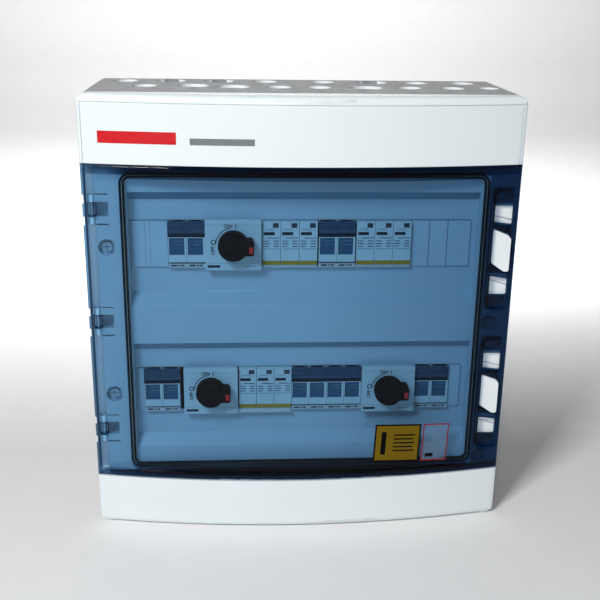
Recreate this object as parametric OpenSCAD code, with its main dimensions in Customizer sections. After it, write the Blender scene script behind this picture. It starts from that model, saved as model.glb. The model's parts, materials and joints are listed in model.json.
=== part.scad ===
// Wall-mounted DC combiner box: a two-row modular enclosure with a tinted door.
// X runs to the right seen from the front, +Y towards the wall, +Z up.
// The origin is at the bottom centre of the closed box.

/* [Enclosure] */
// Overall width
box_w = 410; // [406:1:420]
// Overall height
box_h = 434; // [430:1:440]
// Depth at the front corners
corner_depth = 131; // [128:1:140]
// How far the middle of the front bulges past its corners
front_bulge = 20; // [18:1:22]
// Thickness of the moulded walls
wall = 3; // [2.5:0.5:3.5]
// Thickness of the top and bottom walls of the base, which hold the knockouts
knockout_wall = 4; // [3.5:0.5:5]
// Radius of the four corners seen from the front
corner_r = 10; // [6:1:12]
// Radius of the long edges of the cover
edge_r = 7; // [4:1:8]

/* [Door] */
// Height of the bottom band under the door
door_z0 = 53; // [50:1:55]
// Height of the top of the door opening
door_z1 = 371; // [368:1:374]
// Gap around the door
door_gap = 0.5; // [0.4:0.1:0.8]
// Thickness of the tinted door
door_wall = 3.5; // [3:0.5:4]
// Depth of the step around the window pane
pane_step = 1.2; // [0.8:0.2:1.4]
// Radius of the window corners
window_r = 10; // [8:1:14]

/* [Hinges and latches] */
// Distance of the hinge axis from the left side
hinge_inset = 8; // [8:0.5:9]
// Depth of the hinge axis behind the front corners
hinge_depth = 8; // [8:0.5:9]
// Radius of the hinge pins
hinge_pin_r = 2; // [1.5:0.5:2.5]
// Distance of the latch button centres above each other
latch_pitch = 150; // [145:1:155]
// Width of a latch well
latch_w = 24.4; // [23:0.2:25]
// Radius of the edges of the door
door_edge_r = 3; // [1.5:0.5:3.5]

/* [Rows of modules] */
// Height of the lower row
row_low_z = 142; // [140:1:145]
// Distance between the two rows
row_pitch = 150; // [148:1:152]
// Width of one module
module_w = 17.6; // [17.4:0.1:17.7]
// Height of the device noses
nose_h = 45; // [44:0.5:45]
// Clear height of the module openings
aperture_h = 46; // [45.5:0.5:47]
// Clear width of the module openings
aperture_w = 324; // [322:1:326]

/* [Devices] */
// Diameter of a rotary handle
knob_d = 29; // [26:1:30]
// Height of a rotary handle
knob_h = 12; // [9:1:12]
// Reach of the nose of a rotary handle from its axis
knob_reach = 19.5; // [18:0.5:21]
// Height of the nose of a rotary handle
knob_nose = 15.6; // [12:0.2:17]
// Diameter of a cylindrical fuse link
fuse_d = 10.3; // [10:0.1:10.4]
// Length of a cylindrical fuse link
fuse_l = 38; // [37:0.5:38]
// Travel that unplugs a surge cartridge
cartridge_blade = 9; // [7:1:9]

/* [Hidden] */
$fn = 48;
eps = 0.01;

// Front arc and main planes
depth = corner_depth + front_bulge;
front_y = -depth / 2;
back_y = depth / 2;
corner_y = front_y + front_bulge;
half_w = box_w / 2;
front_r = (half_w * half_w + front_bulge * front_bulge) / (2 * front_bulge);
arc_cy = front_y + front_r;
arc_span = 12;
arc_root = 60;
side_r = 4;
part_y = 6;
notch_y = 24;
notch_over = 5;
ledge_y = 29;
ledge_t = 3;
ledge_w = 10;
gasket_t = 3;

// Front panel of the cover
panel_y = 4;
recess_y = 13;
recess_x0 = -164;
recess_x1 = 168;
recess_up = 43;
recess_down = 48;
slope_up = 8.5;
slope_down = 11.5;
rows_z = [row_low_z + row_pitch, row_low_z];

// Door window
win_x0 = -170.5;
win_x1 = 175;
win_z0 = 61;
win_z1 = 362;
rim_w = 4.5;
gasket_y0 = 1;
gasket_y1 = 3.6;
door_back = 3.2;
side_wall = 2.5;
label_t = 0.3;
label_tilt = 2.5;

// Hinges
hinge_x = -half_w + hinge_inset;
hinge_y = hinge_depth;
hinge_zs = [103, 216.5, 327];
channel_r = 11;
channel_wall = 2.5;
barrel_half = 6.5;
barrel_r = 4.4;
barrel_play = 0.05;
lug_gap = 0.3;
lug_t = 7;
lug_r = 4.5;
lug_arm = 6;
pocket_half = 15;
pocket_x1 = -181.5;
pocket_floor_y = 17;
channel_x1 = -193.5;

// Latches
latch_x = 190.4;
latch_zs = [287, 287 - latch_pitch];
well_up = 61.5;
well_down = 60;
well_r = 8;
well_wall = 1.8;
well_floor_y = 1;
well_floor_t = 2;
well_rim = 1;
well_back = well_floor_y + well_floor_t;
catch_y = 16;
// Sides of the openings in the floor of a well
open_x0 = 180.2;
open_x1 = 199.4;
pad_play = 0.4;
pad_front = -1.6;
collar = 1.2;
hook_y = 11.5;
// Outlines around a latch centre: the button, and the catch blocks above and below it
pad_shape = [[open_x0, -11], [open_x0, 22.8], [196.2, 16.4], [open_x1, 12.4],
    [open_x1, -20.6], [193.8, -20.4]];
upper_catch = [[open_x0 + 1.2, 28.6], [open_x0 + 1.2, 44.4], [open_x1, 44.4], [open_x1, 26.4]];
lower_catch = [[open_x0 + 1.2, -44], [open_x0 + 1.2, -25.2], [open_x1, -28.2], [open_x1, -44]];

// Cover screws
screw_points = [[-184.5, 290.5], [-184.5, 140.5], [186, 212], [186, 65]];
screw_head_r = 4.6;
screw_head_t = 3;
screw_r = 2.2;
screw_hole_r = 2.6;
screw_cup_r = 8;
screw_seat_y = 10;
screw_post_r = 6;
screw_post_y = 31;
screw_tip_y = screw_post_y + 12;

// Modules
nose_y = 8;
shoulder_y = 26;
body_h = 82;
rail_y = 66;
rail_h = 35;
rail_d = 7.5;
rail_t = 1;
device_gap = 0.1;
plate_w = 53.2;
plate_h = 49;
plate_y = 3;
knob_z = 1;
shaft_r = 3;
plate_lines_z = [-17, 20];
line_w = 0.6;
shaft_play = 0.05;
cheek = 1;
front_gap = 0.15;
carrier_plate = 3.2;
pivot_y = 13.4;
pivot_z = -17;
foot_z = -19.2;
trunnion_r = 1.2;

// Start of each group along its row: [row, left side, number of modules]
fuse_groups = [[0, -128, 2], [0, 15.2, 2], [1, -155.8, 2], [1, -9.4, 4], [1, 114.4, 2]];
isolator_groups = [[0, -92.6, 3], [1, -116.2, 3], [1, 61.2, 3]];
spd_groups = [[0, -38.8, 3], [0, 51.2, 3], [1, -62.2, 3]];
// Blanking plates: [row, left side, width]
blanks = [[0, -161.8, 16.8], [0, -144.8, 16.4], [0, 104.8, 17], [0, 122.4, 17], [0, 140, 21.8],
    [1, -161.8, 5.6], [1, 150, 11.8]];
score_x = -149;
fuse_starts = [for (g = fuse_groups, i = [0 : g[2] - 1]) [g[0], g[1] + i * module_w]];
spd_starts = [for (g = spd_groups, i = [0 : g[2] - 1]) [g[0], g[1] + i * module_w]];

// Wall fixing
fix_dx = 340;
fix_dz = 370;
fix_r = 3;
fix_boss_r = 8;
fix_boss_h = 6;
fixings = [for (sx = [-1, 1], sz = [-1, 1]) [sx * fix_dx / 2, box_h / 2 + sz * fix_dz / 2]];

// Uprights behind the rails, and the posts of the base that carry them
frame_x = 150;
frame_w = 24;
frame_t = 3;
frame_z0 = 102;
frame_z1 = 332;
frame_points = [for (x = [-frame_x, frame_x], z = [112, 172, 262, 322]) [x, z]];
frame_y = rail_y + rail_d;
frame_post_r = 6;
frame_screw_r = 1.5;
frame_head_r = 3.5;

// Knockouts in the top and bottom walls: [x, distance behind the corners, radius]
knockouts = [[-172, 108, 12], [-128, 110, 15], [-80, 110, 15], [-34, 110, 12],
    [24, 110, 12], [74, 110, 15], [118, 108, 12], [166, 108, 12],
    [-150, 62, 12], [-104, 66, 15], [-66, 58, 16], [-22, 58, 12], [16, 58, 12],
    [62, 58, 16], [104, 60, 12], [146, 60, 12], [182, 62, 10]];
knockout_d = 2.8;

// Fine line in the top band
line_in = 3.8;
line_t = 0.9;
line_d = 0.6;
line_z = box_h - 8.6;

// Earth bar
bar_z = 30;
bar_half = 60;
bar_y0 = 104;
bar_y1 = 114;
bar_pitch = 10;

// Y of a plane that lies d behind the front corners
function fy(d) = corner_y + d;

// ---------- helpers ----------

module rounded_rect(x0, x1, z0, z1, r) {
    if (r > 0) {
        translate([x0 + r, z0]) square([x1 - x0 - 2 * r, z1 - z0]);
        translate([x0, z0 + r]) square([x1 - x0, z1 - z0 - 2 * r]);
        for (cx = [x0 + r, x1 - r], cz = [z0 + r, z1 - r])
            translate([cx, cz]) circle(r);
    } else {
        translate([x0, z0]) square([x1 - x0, z1 - z0]);
    }
}

// Turns a drawing in X-Z into a solid from plane y0 to plane y1 behind the corners
module along_y(y0, y1)
    translate([0, fy(y1), 0]) rotate([90, 0, 0]) linear_extrude(y1 - y0) children();

// Turns a drawing of [y behind the corners, z] into a solid from x0 to x1
module along_x(x0, x1)
    translate([x0, corner_y, 0]) rotate([90, 0, 90]) linear_extrude(x1 - x0) children();

module slab(x0, x1, z0, z1, y0, y1, r = 0)
    along_y(y0, y1) rounded_rect(x0, x1, z0, z1, r);

// Cylinder along Y
module rod_y(x, z, r, y0, y1)
    translate([x, fy(y1), z]) rotate([90, 0, 0]) cylinder(r = r, h = y1 - y0);

// Everything behind the bulged front, inset by a distance
module behind_front(inset, z0, z1, r = 0)
    translate([0, arc_cy, 0]) rotate([0, 0, 270 - arc_span])
        rotate_extrude(angle = 2 * arc_span, $fn = 360)
            rounded_rect(front_r - arc_root, front_r - inset, z0, z1, r);

// Plan of the box with rounded front corners, back to plane y1
module plan(y1) intersection() {
    side_cy = arc_cy - sqrt(pow(front_r - side_r, 2) - pow(half_w - side_r, 2));
    union() {
        translate([-half_w + side_r, front_y - 1]) square([box_w - 2 * side_r, depth]);
        translate([-half_w, side_cy]) square([box_w, depth]);
        for (s = [-1, 1]) translate([s * (half_w - side_r), side_cy]) circle(side_r);
    }
    translate([-half_w, front_y - 1]) square([box_w, fy(y1) - front_y + 1]);
}

module at_row(row) translate([0, 0, rows_z[row]]) children();

// Screw along Y with a crossed slot in its head
module cross_screw(x, z) {
    slot_l = 3.5;
    slot_w = 0.5;
    top_y = screw_seat_y - screw_head_t;
    difference() {
        rod_y(x, z, screw_head_r, top_y, screw_seat_y);
        slab(x - slot_l, x + slot_l, z - slot_w, z + slot_w, top_y - 1, top_y + 1.4);
        slab(x - slot_w, x + slot_w, z - slot_l, z + slot_l, top_y - 1, top_y + 1.4);
    }
    rod_y(x, z, screw_r, screw_seat_y - eps, screw_tip_y);
}

// ---------- base ----------

module knockout_recesses(z0, z1)
    for (k = knockouts) translate([k[0], fy(k[1]), z0]) cylinder(r = k[2], h = z1 - z0);

module base_box() color("gainsboro") difference() {
    union() {
        difference() {
            slab(-half_w, half_w, 0, box_h, part_y, corner_depth, corner_r);
            slab(-half_w + wall, half_w - wall, knockout_wall, box_h - knockout_wall,
                part_y - 1, corner_depth - wall, corner_r - wall);
            // front edge cut back beside the door
            for (s = [-1, 1])
                translate([s * half_w - 8, fy(part_y) - 1, door_z0 - notch_over])
                    cube([16, notch_y - part_y + 1, door_z1 - door_z0 + 2 * notch_over]);
        }
        // ledge that carries the gasket
        difference() {
            slab(-half_w + 1, half_w - 1, 1, box_h - 1, ledge_y, ledge_y + ledge_t, corner_r - 1);
            slab(-half_w + ledge_w, half_w - ledge_w, ledge_w + 1, box_h - ledge_w - 1,
                ledge_y - 1, ledge_y + ledge_t + 1, wall);
        }
        for (p = fixings)
            rod_y(p[0], p[1], fix_boss_r, corner_depth - wall - fix_boss_h, corner_depth - 1);
        for (p = screw_points)
            rod_y(p[0], p[1], screw_post_r, screw_post_y, corner_depth - 1);
        for (p = frame_points)
            rod_y(p[0], p[1], frame_post_r, frame_y + frame_t, corner_depth - 1);
    }
    for (p = fixings) rod_y(p[0], p[1], fix_r, corner_depth - 20, corner_depth + 1);
    for (p = screw_points) rod_y(p[0], p[1], screw_r, screw_post_y - 1, screw_tip_y + 6);
    for (p = frame_points)
        rod_y(p[0], p[1], frame_screw_r, frame_y + frame_t - 1, frame_y + frame_t + 12);
    knockout_recesses(box_h - knockout_d, box_h + 1);
    knockout_recesses(-1, knockout_d);
}

module base_gasket() color("dimgray") {
    side = wall + 0.2;
    flat = knockout_wall + 0.2;
    inner = ledge_w - 0.5;
    difference() {
        slab(-half_w + side, half_w - side, flat, box_h - flat,
            ledge_y - gasket_t, ledge_y, corner_r - wall);
        slab(-half_w + inner, half_w - inner, inner + 1, box_h - inner - 1,
            ledge_y - gasket_t - 1, ledge_y + 1, wall);
    }
}

// ---------- cover ----------

// Bulged white band above or below the door, hollow and open at the back
module cover_cap(z0, z1, low, high) difference() {
    intersection() {
        behind_front(0, low, high, edge_r);
        translate([0, 0, z0]) linear_extrude(z1 - z0) plan(part_y);
        slab(-half_w, half_w, 0, box_h, -front_bulge - 1, part_y, corner_r);
    }
    intersection() {
        behind_front(wall, z0 + wall, z1 - wall);
        slab(-half_w + wall, half_w - wall, z0 + wall, z1 - wall, -front_bulge, part_y + 1);
    }
}

// Fine line around the face of the top band
module cap_line() difference() {
    union() {
        slab(-half_w + line_in, half_w - line_in, line_z, line_z + line_t,
            -front_bulge - 2, part_y);
        for (s = [-1, 1])
            slab(s * (half_w - line_in) - line_t / 2, s * (half_w - line_in) + line_t / 2,
                door_z1 - 1, line_z + line_t, -front_bulge - 2, part_y);
    }
    behind_front(line_d, 0, box_h);
}

// Rim that reaches into the base and presses on its gasket
module tongue() {
    side = 6.5;
    flat = 8;
    play = 0.5;
    difference() {
        slab(-half_w + 1, half_w - 1, 1, box_h - 1, 0, part_y, corner_r - 1);
        slab(-half_w + side, half_w - side, flat, box_h - flat, -1, part_y + 1, wall);
        slab(-half_w - 1, half_w + 1, door_z0 - 1, door_z1 + 1, -1, panel_y);
    }
    difference() {
        slab(-half_w + wall + play, half_w - wall - play, knockout_wall + play,
            box_h - knockout_wall - play, part_y - 1.5, ledge_y - gasket_t, corner_r - wall);
        slab(-half_w + side, half_w - side, flat, box_h - flat,
            part_y - 3, ledge_y, wall);
    }
}

// Front panel behind the door, with a tub around each row of modules
module panel() {
    z_lo = door_z0 - 2;
    z_hi = door_z1 + 2;
    difference() {
        union() {
            slab(-half_w + 0.5, half_w - 0.5, z_lo, z_hi, panel_y, panel_y + wall);
            for (zc = rows_z) along_x(recess_x0 - wall, recess_x1 + wall)
                polygon([[panel_y, zc - recess_down - slope_down - 2],
                    [panel_y + wall, zc - recess_down - slope_down - 2],
                    [recess_y + wall, zc - recess_down - 2],
                    [recess_y + wall, zc + recess_up + 2],
                    [panel_y + wall, zc + recess_up + slope_up + 2],
                    [panel_y, zc + recess_up + slope_up + 2]]);
        }
        for (zc = rows_z) {
            along_x(recess_x0, recess_x1)
                polygon([[panel_y - 1, zc - recess_down - slope_down],
                    [panel_y, zc - recess_down - slope_down],
                    [recess_y, zc - recess_down],
                    [recess_y, zc + recess_up],
                    [panel_y, zc + recess_up + slope_up],
                    [panel_y - 1, zc + recess_up + slope_up]]);
            slab(-aperture_w / 2, aperture_w / 2, zc - aperture_h / 2, zc + aperture_h / 2,
                recess_y - 1, recess_y + wall + 1);
        }
    }
}

// Sides of the cover beside the door, where the base is cut back
module skirts() for (s = [-1, 1]) {
    x_in = s * (half_w - 6.5);
    x_out = s * half_w;
    gap = 0.4;
    slab(min(x_in, x_out), max(x_in, x_out), door_z0 - notch_over + gap,
        door_z1 + notch_over - gap, panel_y, notch_y - 0.3);
}

module hinge_lugs() for (z = hinge_zs, s = [-1, 1]) {
    z_mid = z + s * (barrel_half + lug_gap + lug_t / 2);
    translate([hinge_x, fy(hinge_y), z_mid - lug_t / 2]) {
        cylinder(r = lug_r, h = lug_t);
        translate([0, -lug_arm / 2, 0]) cube([pocket_x1 - hinge_x + 1, lug_arm, lug_t]);
    }
}

module latch_pocket(zc, grow, y0, y1)
    slab(open_x0 - 0.6 - grow, open_x1 + 0.4 + grow / 2,
        zc - well_down - grow, zc + well_up + grow, y0, y1);

module front_cover() color("white") difference() {
    union() {
        difference() {
            union() {
                cover_cap(door_z1, box_h, door_z1 - 30, box_h);
                cover_cap(0, door_z0, 0, door_z0 + 30);
                tongue();
                panel();
                skirts();
                for (p = screw_points) {
                    rod_y(p[0], p[1], screw_cup_r + 1, panel_y, screw_seat_y + wall);
                    rod_y(p[0], p[1], screw_post_r, panel_y, screw_post_y - 0.5);
                }
                // liner of the channel that the hinge edge of the door turns in
                intersection() {
                    translate([hinge_x, fy(hinge_y), door_z0 - 1])
                        cylinder(r = channel_r + channel_wall, h = door_z1 - door_z0 + 2);
                    slab(-half_w, channel_x1 + 2, door_z0 - 1, door_z1 + 1, panel_y, notch_y);
                }
                for (z = hinge_zs)
                    slab(channel_x1 - 2, pocket_x1 + 2, z - pocket_half - 2,
                        z + pocket_half + 2, panel_y, pocket_floor_y + 2);
                for (z = latch_zs) latch_pocket(z, 2, panel_y, catch_y + 2);
            }
            intersection() {
                translate([hinge_x, fy(hinge_y), door_z0])
                    cylinder(r = channel_r, h = door_z1 - door_z0);
                slab(-half_w - 5, channel_x1, door_z0 - 1, door_z1 + 1, -5, notch_y);
            }
            for (z = hinge_zs)
                slab(channel_x1 - 3, pocket_x1, z - pocket_half, z + pocket_half,
                    panel_y - 1, pocket_floor_y);
            for (z = latch_zs) latch_pocket(z, 0, panel_y - 1, catch_y);
        }
        hinge_lugs();
    }
    cap_line();
    for (z = hinge_zs) translate([hinge_x, fy(hinge_y), z - pocket_half - 1])
        cylinder(r = hinge_pin_r, h = 2 * pocket_half + 2);
    for (p = screw_points) {
        rod_y(p[0], p[1], screw_cup_r, panel_y - 1, screw_seat_y);
        rod_y(p[0], p[1], screw_hole_r, screw_seat_y - 1, screw_post_y + 1);
    }
}

module cover_screws() color("silver") for (p = screw_points) cross_screw(p[0], p[1]);

module blank_plates() color("white") for (b = blanks) at_row(b[0]) {
    x1 = b[1] + b[2];
    difference() {
        union() {
            slab(b[1], x1, -nose_h / 2, nose_h / 2, recess_y - 2, recess_y + 0.6);
            // snap tongues behind the edge of the opening
            slab(b[1] + 1, x1 - 1, -nose_h / 2 + 3, nose_h / 2 - 3, recess_y, recess_y + 6);
        }
        slab(b[1] + 2.2, x1 - 2.2, -nose_h / 2 + 4.5, nose_h / 2 - 4.5,
            recess_y + 1, recess_y + 7);
        // score line where a strip can be snapped off
        slab(score_x - line_w / 2, score_x + line_w / 2, -nose_h / 2 - 1, nose_h / 2 + 1,
            recess_y - 3, recess_y - 1.5);
    }
}

// ---------- door ----------

// Outline around a latch centre, grown by a distance and with rounded corners
module outline(zc, shape, grow = 0) translate([0, zc])
    offset(r = 1.8) offset(delta = grow - 1.8) polygon(shape);

module latch_windows(zc, y0, y1) along_y(y0, y1) {
    outline(zc, pad_shape);
    outline(zc, upper_catch);
    outline(zc, lower_catch);
}

// Bulged shell of the door, open at the back
module door_shell(z0, z1) difference() {
    intersection() {
        behind_front(0, z0, z1, door_edge_r);
        translate([0, 0, z0]) linear_extrude(z1 - z0) plan(door_back);
    }
    intersection() {
        behind_front(door_wall, z0 + door_wall, z1 - door_wall);
        slab(-half_w + side_wall, half_w - side_wall, z0 + door_wall, z1 - door_wall,
            -front_bulge, door_back + 1);
    }
}

// Rounded frame around the window
module window_frame(y0, y1, over) difference() {
    slab(win_x0, win_x1, win_z0, win_z1, y0, y1, window_r);
    slab(win_x0 + rim_w, win_x1 - rim_w, win_z0 + rim_w, win_z1 - rim_w,
        y0 - over, y1 + over, window_r - rim_w);
}

// Slanted ribs that cross a well between its openings
module well_ribs(zc) along_y(-front_bulge, well_floor_y + 0.5) translate([0, zc]) {
    x0 = latch_x - latch_w / 2 + 1;
    x1 = latch_x + latch_w / 2 - 1;
    polygon([[x0, 24.4], [x0, 27], [x1, 24.6], [x1, 16.4]]);
    polygon([[x0, -12.6], [x0, -23.6], [x1, -26.4], [x1, -21.8], [x1 - 7.6, -21.6]]);
}

module door() color([0.2, 0.3, 0.42, 0.45]) {
    z0 = door_z0 + door_gap;
    z1 = door_z1 - door_gap;
    web = 3.6;
    notch = [3, 10, lug_t + 1.6];
    difference() {
        union() {
            door_shell(z0, z1);
            // rib that carries the gasket
            intersection() {
                behind_front(1, z0, z1);
                window_frame(-front_bulge - 1, gasket_y0, 1);
            }
            // walls and floor of the latch wells
            for (z = latch_zs) intersection() {
                behind_front(-well_rim, z0, z1);
                slab(latch_x - latch_w / 2, latch_x + latch_w / 2,
                    z - well_down, z + well_up, -front_bulge, well_back, well_r);
            }
            // barrels and their webs
            for (z = hinge_zs) {
                translate([hinge_x, fy(hinge_y), z - barrel_half])
                    cylinder(r = barrel_r, h = 2 * barrel_half);
                translate([hinge_x - web, fy(-0.5), z - barrel_half])
                    cube([2 * web, hinge_y + 0.5, 2 * barrel_half]);
            }
        }
        // step around the pane
        difference() {
            slab(win_x0 + 1, win_x1 - 1, win_z0 + 1, win_z1 - 1,
                -front_bulge - 2, 0, window_r - 1);
            behind_front(pane_step, 0, box_h);
        }
        for (z = latch_zs) {
            slab(latch_x - latch_w / 2 + well_wall, latch_x + latch_w / 2 - well_wall,
                z - well_down + well_wall, z + well_up - well_wall,
                -front_bulge, well_floor_y, well_r - well_wall);
            latch_windows(z, -front_bulge, well_back + 2);
            // groove across the floor above the upper opening
            slab(open_x0 + 1.5, open_x1 - 3, z + 48.6, z + 51.4, 0, well_floor_y + 1);
        }
        for (z = hinge_zs) {
            translate([hinge_x, fy(hinge_y), z - barrel_half - 1])
                cylinder(r = hinge_pin_r + barrel_play, h = 2 * barrel_half + 2);
            // room for the lugs beside each barrel
            for (s = [-1, 1])
                translate([-half_w - 1, fy(-6), z + s * (barrel_half + lug_gap + lug_t / 2)
                    - notch[2] / 2]) cube(notch);
        }
    }
    for (z = latch_zs) intersection() {
        behind_front(0.8, z0, z1);
        well_ribs(z);
    }
}

module door_gasket() color("black") window_frame(gasket_y0, gasket_y1, 1);

module hinge_pins() color("dimgray") for (z = hinge_zs)
    translate([hinge_x, fy(hinge_y), z - pocket_half + 0.2])
        cylinder(r = hinge_pin_r, h = 2 * pocket_half - 0.4);

// White catch blocks that show through the outer openings of each well
module latch_keepers() color("white") for (z = latch_zs) difference() {
    x0 = open_x0 - 0.4;
    union() {
        slab(x0, open_x1, z + 24.6, z + 46.4, panel_y, catch_y);
        slab(x0, open_x1, z - 46, z - 23.4, panel_y, catch_y);
    }
    // slanted groove across the face of each block
    along_y(panel_y - 1, panel_y + 2) translate([0, z]) {
        polygon([[x0 - 1, 34.6], [x0 - 1, 35.6], [open_x1 + 1, 30.2], [open_x1 + 1, 29.2]]);
        polygon([[x0 - 1, -28], [x0 - 1, -29], [open_x1 + 1, -35.6], [open_x1 + 1, -34.6]]);
    }
}

// Button: pad, collar behind the floor of the well, and hook
module latch_button(zc) color("white") {
    along_y(pad_front, well_back + 0.3) outline(zc, pad_shape, -pad_play);
    along_y(well_back + 0.2, well_back + 2) intersection() {
        outline(zc, pad_shape, collar);
        translate([open_x0 - pad_play, 0]) square([open_x1 - open_x0 + pad_play, box_h]);
    }
    slab(latch_x - 7, latch_x + 5, zc - 6, zc + 4, well_back + 1.9, hook_y);
}

module latch_upper() latch_button(latch_zs[0]);
module latch_lower() latch_button(latch_zs[1]);

// Thin label that follows the bulge of the pane, stuck on slightly askew
module label(x0, x1, z0, z1) intersection() {
    along_y(-front_bulge - 1, 0) translate([x0, z0]) rotate(-label_tilt)
        square([x1 - x0, z1 - z0]);
    difference() {
        behind_front(pane_step - label_t, 0, box_h);
        behind_front(pane_step, -1, box_h + 1);
    }
}

module warning_label() color("goldenrod") label(72, 119.2, 71.4, 112.6);
module string_label() color("lightsteelblue") label(121.5, 148.2, 69.4, 110.4);

// ---------- rails ----------

module din_rails() color("silver") for (zc = rows_z) along_x(-165, 165)
    polygon([[rail_y, zc - rail_h / 2], [rail_y + rail_t, zc - rail_h / 2],
        [rail_y + rail_t, zc - 13.5], [rail_y + rail_d, zc - 13.5],
        [rail_y + rail_d, zc + 13.5], [rail_y + rail_t, zc + 13.5],
        [rail_y + rail_t, zc + rail_h / 2], [rail_y, zc + rail_h / 2],
        [rail_y, zc + 12.5], [rail_y + rail_d - rail_t, zc + 12.5],
        [rail_y + rail_d - rail_t, zc - 12.5], [rail_y, zc - 12.5]]);

// Two uprights that join the rails and stand on the posts of the base
module rail_frame() color("lightgray") difference() {
    for (s = [-1, 1])
        slab(s * frame_x - frame_w / 2, s * frame_x + frame_w / 2, frame_z0, frame_z1,
            frame_y, frame_y + frame_t, 2);
    for (p = frame_points) rod_y(p[0], p[1], frame_screw_r + 0.5, frame_y - 1, frame_y + frame_t + 1);
}

module rail_screws() color("silver") for (p = frame_points) {
    rod_y(p[0], p[1], frame_head_r, frame_y - 2, frame_y);
    rod_y(p[0], p[1], frame_screw_r, frame_y - eps, frame_y + 12);
}

module earth_bar() color("goldenrod") {
    difference() {
        slab(-bar_half, bar_half, bar_z - 5, bar_z + 5, bar_y0, bar_y1, 1);
        for (i = [-5 : 5]) rod_y(i * bar_pitch, bar_z, 2.2, bar_y0 - 1, bar_y1 + 1);
    }
    for (s = [-1, 1]) slab(s * (bar_half - 6) - 4, s * (bar_half - 6) + 4, bar_z - 4, bar_z + 4,
        bar_y1 - eps, corner_depth - wall);
}

// Copper combs that join the terminals under each row of fuse holders
module busbars() color("peru") for (g = fuse_groups) at_row(g[0]) {
    slab(g[1] + 3, g[1] + g[2] * module_w - 3, -body_h / 2 - 8, -body_h / 2 - 6, 46, 52);
    for (i = [0 : g[2] - 1]) {
        mid = g[1] + (i + 0.5) * module_w;
        slab(mid - 2, mid + 2, -body_h / 2 - 7, -body_h / 2, 48, 50);
    }
}

// ---------- devices ----------

// Body that snaps on the rail: a tall block with terminal wells and a foot
module rail_body(x0, n) {
    w = n * module_w;
    difference() {
        slab(x0 + device_gap, x0 + w - device_gap, -body_h / 2, body_h / 2, shoulder_y, rail_y + 4);
        // seat of the rail
        slab(x0 - 1, x0 + w + 1, -rail_h / 2 - 0.3, rail_h / 2 + 0.3, rail_y, rail_y + 5);
        for (i = [0 : n - 1], s = [-1, 1]) {
            mid = x0 + (i + 0.5) * module_w;
            // screw shaft and cable entry of each terminal
            rod_y(mid, s * (body_h / 2 - 9), 3.6, shoulder_y - 1, shoulder_y + 14);
            translate([mid, fy(shoulder_y + 28), s * (body_h / 2 - 6) - 7])
                cylinder(r = 4, h = 14);
        }
    }
}

// Holder of n fuse carriers; its nose is open towards the top and the front
module fuse_base(g) color("gainsboro") at_row(g[0]) {
    rail_body(g[1], g[2]);
    for (i = [0 : g[2] - 1]) {
        x0 = g[1] + i * module_w + device_gap;
        x1 = g[1] + (i + 1) * module_w - device_gap;
        difference() {
            union() {
                slab(x0, x1, -nose_h / 2, nose_h / 2, nose_y + carrier_plate + 0.2,
                    shoulder_y + eps);
                slab(x0, x1, -nose_h / 2, foot_z, nose_y, shoulder_y + eps);
            }
            slab(x0 + cheek, x1 - cheek, foot_z, nose_h / 2 + 1, nose_y - 1, shoulder_y);
            // sunk name strip on the foot
            slab(x0 + 2, x1 - 2, -nose_h / 2 + 0.7, foot_z - 0.5, nose_y - 1, nose_y + 0.5);
            translate([x0 - 1, fy(pivot_y), pivot_z]) rotate([0, 90, 0])
                cylinder(r = trunnion_r + shaft_play, h = x1 - x0 + 2);
        }
    }
}

// Swing-out carrier with its ribbed grip, window and cylindrical fuse link
module fuse_carrier(k) color("silver") at_row(fuse_starts[k][0]) {
    x0 = fuse_starts[k][1] + front_gap;
    x1 = fuse_starts[k][1] + module_w - front_gap;
    in0 = fuse_starts[k][1] + device_gap + cheek + 0.2;
    in1 = fuse_starts[k][1] + module_w - device_gap - cheek - 0.2;
    mid = (x0 + x1) / 2;
    top = nose_h / 2 - 0.4;
    plate_back = nose_y + carrier_plate;
    fuse_y = nose_y + 8.8;
    jaw = 6.1;
    rib_z = 14.2;
    rib_pitch = 2.1;
    difference() {
        union() {
            slab(x0, x1, pivot_z, top, nose_y, plate_back);
            // chin between the cheeks, cut back so that it clears the foot
            along_x(in0, in1) polygon([[nose_y, pivot_z - 0.3], [plate_back, pivot_z - 1.5],
                [plate_back, pivot_z + 1], [nose_y, pivot_z + 1]]);
            slab(in0, in1, pivot_z, pivot_z + 2.4, plate_back - 0.5, pivot_y + 1.5);
            translate([in0, fy(pivot_y), pivot_z]) rotate([0, 90, 0])
                cylinder(r = 1.5, h = in1 - in0);
            translate([in0 - 0.9, fy(pivot_y), pivot_z]) rotate([0, 90, 0])
                cylinder(r = trunnion_r, h = in1 - in0 + 1.8);
            for (s = [-1, 1])
                slab(mid + s * jaw - 0.9, mid + s * jaw + 0.9, pivot_z + 1, top - 4,
                    plate_back - 0.5, fuse_y + 2);
        }
        // window, dark slot above it and the ribs of the grip
        slab(x0 + 1, x1 - 2, -10.2, 6.4, nose_y - 1, nose_y + 1.6);
        slab(x0 - 1, x1 + 1, 7.4, 11, nose_y - 1, nose_y + 1.4);
        for (i = [0 : 3])
            slab(x0 - 1, x1 + 1, rib_z + i * rib_pitch, rib_z + 0.8 + i * rib_pitch,
                nose_y - 1, nose_y + 0.7);
        // finger notch at the top edge
        slab(mid - 4, mid + 4, top - 1.2, top + 1, nose_y - 1, nose_y + 1.6);
    }
    translate([mid, fy(fuse_y), pivot_z + 18.6 - fuse_l / 2])
        cylinder(r = fuse_d / 2, h = fuse_l);
}

module isolator_body(g) color("gainsboro") at_row(g[0]) {
    x0 = g[1] + device_gap;
    x1 = g[1] + g[2] * module_w - device_gap;
    rail_body(g[1], g[2]);
    difference() {
        slab(x0, x1, -nose_h / 2, nose_h / 2, nose_y, shoulder_y + eps);
        rod_y((x0 + x1) / 2, knob_z, shaft_r + shaft_play, nose_y - 1, nose_y + 7);
    }
}

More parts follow.
